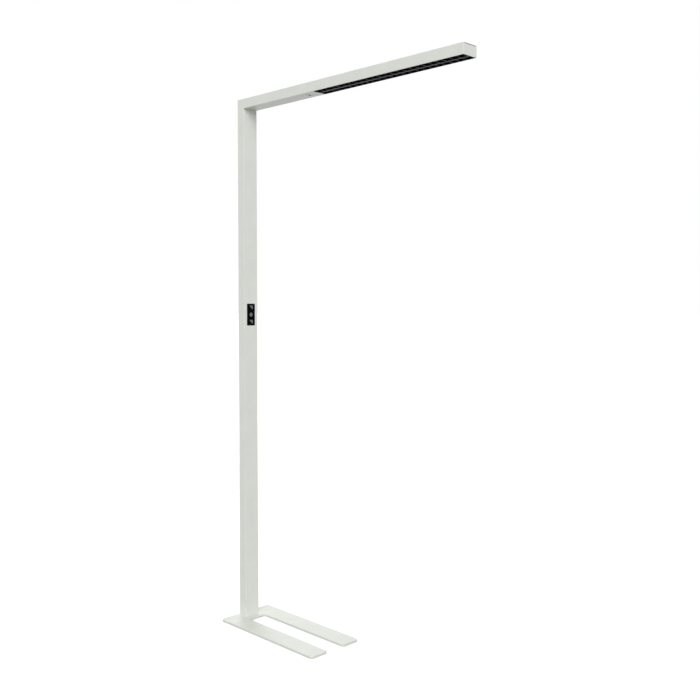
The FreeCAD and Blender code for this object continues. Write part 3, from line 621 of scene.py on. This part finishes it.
def led_finish(name, row_y):
    """White housing with a yellow window at its middle, found by its place in the row."""
    material, shader = finish(name, seen(228, 226, 216), roughness=0.4)
    tree = material.node_tree
    place = wired(tree, "ShaderNodeSeparateXYZ",
                  {0: wired(tree, "ShaderNodeTexCoord", {}).outputs["Object"]})
    along = wired(tree, "ShaderNodeMath", {0: place.outputs[0], 1: lit_start}, operation="SUBTRACT")
    cells = wired(tree, "ShaderNodeMath", {0: along.outputs[0], 1: cell_pitch}, operation="PINGPONG")
    from_x = wired(tree, "ShaderNodeMath", {0: cells.outputs[0], 1: cell_pitch / 2}, operation="SUBTRACT")
    plain_y = wired(tree, "ShaderNodeMath", {0: place.outputs[1]}, operation="ABSOLUTE")
    from_y = wired(tree, "ShaderNodeMath", {0: plain_y.outputs[0], 1: row_y}, operation="SUBTRACT")
    offset = wired(tree, "ShaderNodeCombineXYZ", {0: from_x.outputs[0], 1: from_y.outputs[0]})
    gap = wired(tree, "ShaderNodeVectorMath", {0: offset.outputs[0]}, operation="LENGTH").outputs["Value"]
    window = share_from(tree, gap, phosphor_radius, phosphor_edge)
    grain = mottle(tree, patch=0.0003)
    phosphor = between(tree, grain, seen(222, 186, 40), seen(238, 206, 70))
    housing = between(tree, grain, seen(222, 220, 210), seen(234, 232, 224))
    tree.links.new(mixed(tree, window, phosphor, housing), shader.inputs["Base Color"])
    relief(tree, shader, window, depth=0.00005)
    return material


dress("downlight_leds", led_finish("downlight_chip", row_middle))
dress("uplight_leds", led_finish("uplight_chip", uplight_row))

# At a scale of one, the pattern of waves repeats every 0.314 metres.
wave_at_scale_one = 0.314
track_rim_low, track_rim_high = 0.78, 0.82


def circuit_board(name, mask, track, edge_tone, spacing):
    """Solder mask over thin copper tracks that run along the board, slightly raised where they are."""
    material, shader = finish(name, mask, roughness=0.35)
    tree = material.node_tree
    place = wired(tree, "ShaderNodeTexCoord", {}).outputs["Object"]
    waves = wired(tree, "ShaderNodeTexWave",
                  {"Vector": place, "Scale": wave_at_scale_one / spacing, "Distortion": 1.5, "Detail": 1.0,
                   "Detail Scale": 0.2}, bands_direction="Y").outputs[1]
    tracks = share_from(tree, waves, track_rim_low, track_rim_high)
    ground = between(tree, mottle(tree, patch=0.004), mask, edge_tone)
    tree.links.new(mixed(tree, tracks, ground, track), shader.inputs["Base Color"])
    relief(tree, shader, tracks, depth=0.00003)
    return material


white_board = circuit_board("white_board", seen(236, 236, 232), seen(224, 226, 216), seen(230, 230, 226),
                            spacing=0.004)
for board in ("downlight_board", "uplight_board"):
    dress(board, white_board)


# ---- Carrier ----
# Extruded aluminium heat sink, left bare and screwed to the ledges inside the arm. One light board lies
# against its underside and one on its upper face.

dress("led_carrier", bare_metal("carrier_aluminium", bright_aluminium, seen(190, 192, 195), roughness=0.34,
                                drawn=(0.02, 1.0, 1.0)))


# ---- Opal cover ----
# A strip of milky acrylic over the uplight, just below the top of the arm. Its legs stand on the carrier and
# hold its flange up under the edges of the window. Its sawn end, in the arm's tip, is painted darker than its
# face as painted shade.

cloudy_share = 0.97
turned_low, turned_high = 0.15, 0.45


def milky_plastic(name, colour, roughness, depth, shaded_facing, darker):
    """Opal plastic: light goes a little way in, and the skin has a fine satin grain. Faces that look along
    the given direction, such as a sawn end, are painted in the darker colour as painted shade."""
    material, shader = finish(name, colour, roughness)
    shader.inputs["Subsurface Weight"].default_value = 0.5
    shader.inputs["Subsurface Radius"].default_value = (depth, depth, depth)
    shader.inputs["Subsurface Scale"].default_value = 1.0
    tree = material.node_tree
    skin = mottle(tree, patch=0.0006)
    tree.links.new(between(tree, skin, roughness, roughness + 0.08), shader.inputs["Roughness"])
    cloudy = [part * cloudy_share for part in colour[:3]] + [1.0]
    plain = between(tree, mottle(tree, patch=0.03), colour, cloudy)
    # Faces turned towards the given direction are painted in the darker colour, as painted shade.
    outward = wired(tree, "ShaderNodeTexCoord", {}).outputs["Normal"]
    turned = wired(tree, "ShaderNodeVectorMath", {0: outward, 1: shaded_facing}, operation="DOT_PRODUCT")
    share = share_from(tree, turned.outputs["Value"], turned_low, turned_high)
    tree.links.new(mixed(tree, share, plain, darker), shader.inputs["Base Color"])
    relief(tree, shader, skin, depth=0.000006)
    return material


# The cover's sawn end, facing the arm's tip, is painted a darker grey as painted shade.
dress("opal_cover", milky_plastic("opal_plastic", seen(204, 206, 203), roughness=0.38, depth=0.002,
                                  shaded_facing=(1.0, 0.0, 0.0), darker=seen(150, 152, 150)))


# ---- Converter in the neck ----
# A closed case moulded in pale polycarbonate, with a lowered terminal cover at each end. It stands on a soft
# grey pad that leads its heat into the floor of the neck.

tone_grains = 40


def moulded_plastic(name, colour, other, roughness, grain, depth):
    """Plain moulded plastic with an even spark-eroded grain, and tones that are many grains wide."""
    material, shader = finish(name, colour, roughness)
    tree = material.node_tree
    pattern = mottle(tree, grain, detail=3.0)
    tone = mottle(tree, grain * tone_grains)
    tree.links.new(between(tree, tone, colour, other), shader.inputs["Base Color"])
    tree.links.new(between(tree, pattern, roughness - 0.04, roughness + 0.08), shader.inputs["Roughness"])
    relief(tree, shader, pattern, depth)
    return material


dress("led_driver", moulded_plastic("driver_case", seen(226, 226, 222), seen(220, 220, 217), roughness=0.45,
                                    grain=0.0006, depth=0.00002))
dress("driver_pad", rubber("pad_rubber", seen(176, 180, 186), seen(166, 170, 177), grain=0.0006))


# ---- Presence sensor ----
# A small domed lens, cut in flat windows, its side towards the arm's tip and the far side painted dark as
# painted shade. It hangs in a round ring with a rounded lip, pressed through the underside of the neck near
# the louvre. Its green board lies on top.

ring_low, ring_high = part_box("sensor_ring")
ring_place = Vector(((ring_low.x + ring_high.x) / 2, 0.0, ring_low.z))
ring_radius, ring_height = 0.0110, 0.0058
ring_bore, ring_barrel, ring_flange = 0.0078, 0.0098, 0.0008
ring_section = [(ring_bore, 0.0), (0.0102, 0.0), (0.0107, 0.0002), (ring_radius, 0.00055),
                (ring_radius, ring_flange), (ring_barrel, ring_flange), (ring_barrel, ring_height),
                (ring_bore, ring_height), (ring_bore, 0.0)]
ring_form = bmesh.new()
loft(ring_form, [loop_round(ring_place, Vector((0, 0, 1)), radius, depth, sides=64)
                 for radius, depth in ring_section])
ring_plastic = moulded_plastic("ring_plastic", seen(214, 216, 210), seen(208, 210, 205), roughness=0.4,
                               grain=0.0005, depth=0.00001)
sensor_bezel = finished_piece("sensor_bezel", ring_form, ring_plastic, "lamp",
                              smooth_below=50.0)
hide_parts("sensor_ring")
# The lens's faces that look towards the arm's tip and the far side are painted dark grey as painted shade.
dress("sensor_lens", milky_plastic("sensor_opal", seen(248, 250, 247), roughness=0.25, depth=0.001,
                                   shaded_facing=(0.71, 0.71, 0.0), darker=seen(70, 71, 72)))
green_mask, green_track, green_edge = seen(34, 96, 58), seen(58, 128, 78), seen(28, 84, 50)
dress("sensor_board", circuit_board("sensor_green", green_mask, green_track, green_edge, spacing=0.002))


# ---- Control panel ----
# A black moulded frame on the inner face of the post, its collar pressed through the wall. Behind it, screwed
# to its bosses, are a green board with three small switches, a socket and the lead up to the converter.

faint_gloss = 0.015


def black_plastic(name, colour, other, roughness):
    """Fine grained black plastic that gives back little of what it mirrors."""
    material = moulded_plastic(name, colour, other, roughness, grain=0.0004, depth=0.00001)
    shader = material.node_tree.nodes["Principled BSDF"]
    shader.inputs["Specular IOR Level"].default_value = faint_gloss
    return material


dress("control_bezel", black_plastic("panel_black", seen(4, 4, 5), seen(7, 7, 8), roughness=0.4))
dress("control_board", circuit_board("control_green", green_mask, green_track, green_edge, spacing=0.003))
switch_plastic = moulded_plastic("switch_plastic", seen(48, 48, 50), seen(56, 56, 58), roughness=0.5,
                                 grain=0.0003, depth=0.00001)
for part in ("tact_switches", "lead_connector"):
    dress(part, switch_plastic)
dress("control_lead", moulded_plastic("lead_sheath", seen(206, 206, 204), seen(196, 196, 195), roughness=0.5,
                                      grain=0.0008, depth=0.00001))


# ---- Push keys ----
# Three satin black keys. The outer two carry a printed wedge for brighter and dimmer, the middle one a disc
# for on and off, all in the same grey ink, a few hundredths of a millimetre thick.

key_black = black_plastic("key_black", seen(5, 5, 6), seen(8, 8, 9), roughness=0.34)
key_ink, ink_shader = finish("key_ink", seen(102, 102, 105), roughness=0.55)
ink_gloss = 0.3
ink_shader.inputs["Specular IOR Level"].default_value = ink_gloss
ink_tree = key_ink.node_tree
print_grain = mottle(ink_tree, patch=0.0003)
ink_tree.links.new(between(ink_tree, print_grain, seen(96, 96, 100), seen(108, 108, 111)),
                   ink_shader.inputs["Base Color"])
relief(ink_tree, ink_shader, print_grain, depth=0.000005)
ink_lift = 0.00003
ink_sink = 0.00002
disc_radius = 0.0073
wedge_width = 0.0149
wedge_height = 0.0139
wedge_point = wedge_width * 0.35
disc_outline = [(disc_radius * math.cos(math.radians(angle)), disc_radius * math.sin(math.radians(angle)))
                for angle in range(0, 360, 6)]
wedge_outline = [(-wedge_width / 2, wedge_height / 2), (wedge_point, -wedge_height / 2),
                 (wedge_width / 2, -wedge_height / 2), (wedge_width / 2, wedge_height / 2)]


def printed_mark(name, key, outline, body):
    """A thin flat print on the middle of a key's face."""
    low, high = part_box(key)
    middle_z = (low.z + high.z) / 2
    form = bmesh.new()
    loft(form, [[Vector((high.x + lift, y, middle_z + z)) for y, z in outline]
                for lift in (-ink_sink, ink_lift)], closed_ends=True)
    finished_piece(name, form, key_ink, body)


for key, body, outline in (("key_brighter", "brighter_key", wedge_outline),
                           ("key_power", "power_key", disc_outline),
                           ("key_dimmer", "dimmer_key", wedge_outline)):
    dress(key, key_black)
    printed_mark(f"mark_{key[4:]}", key, outline, body)
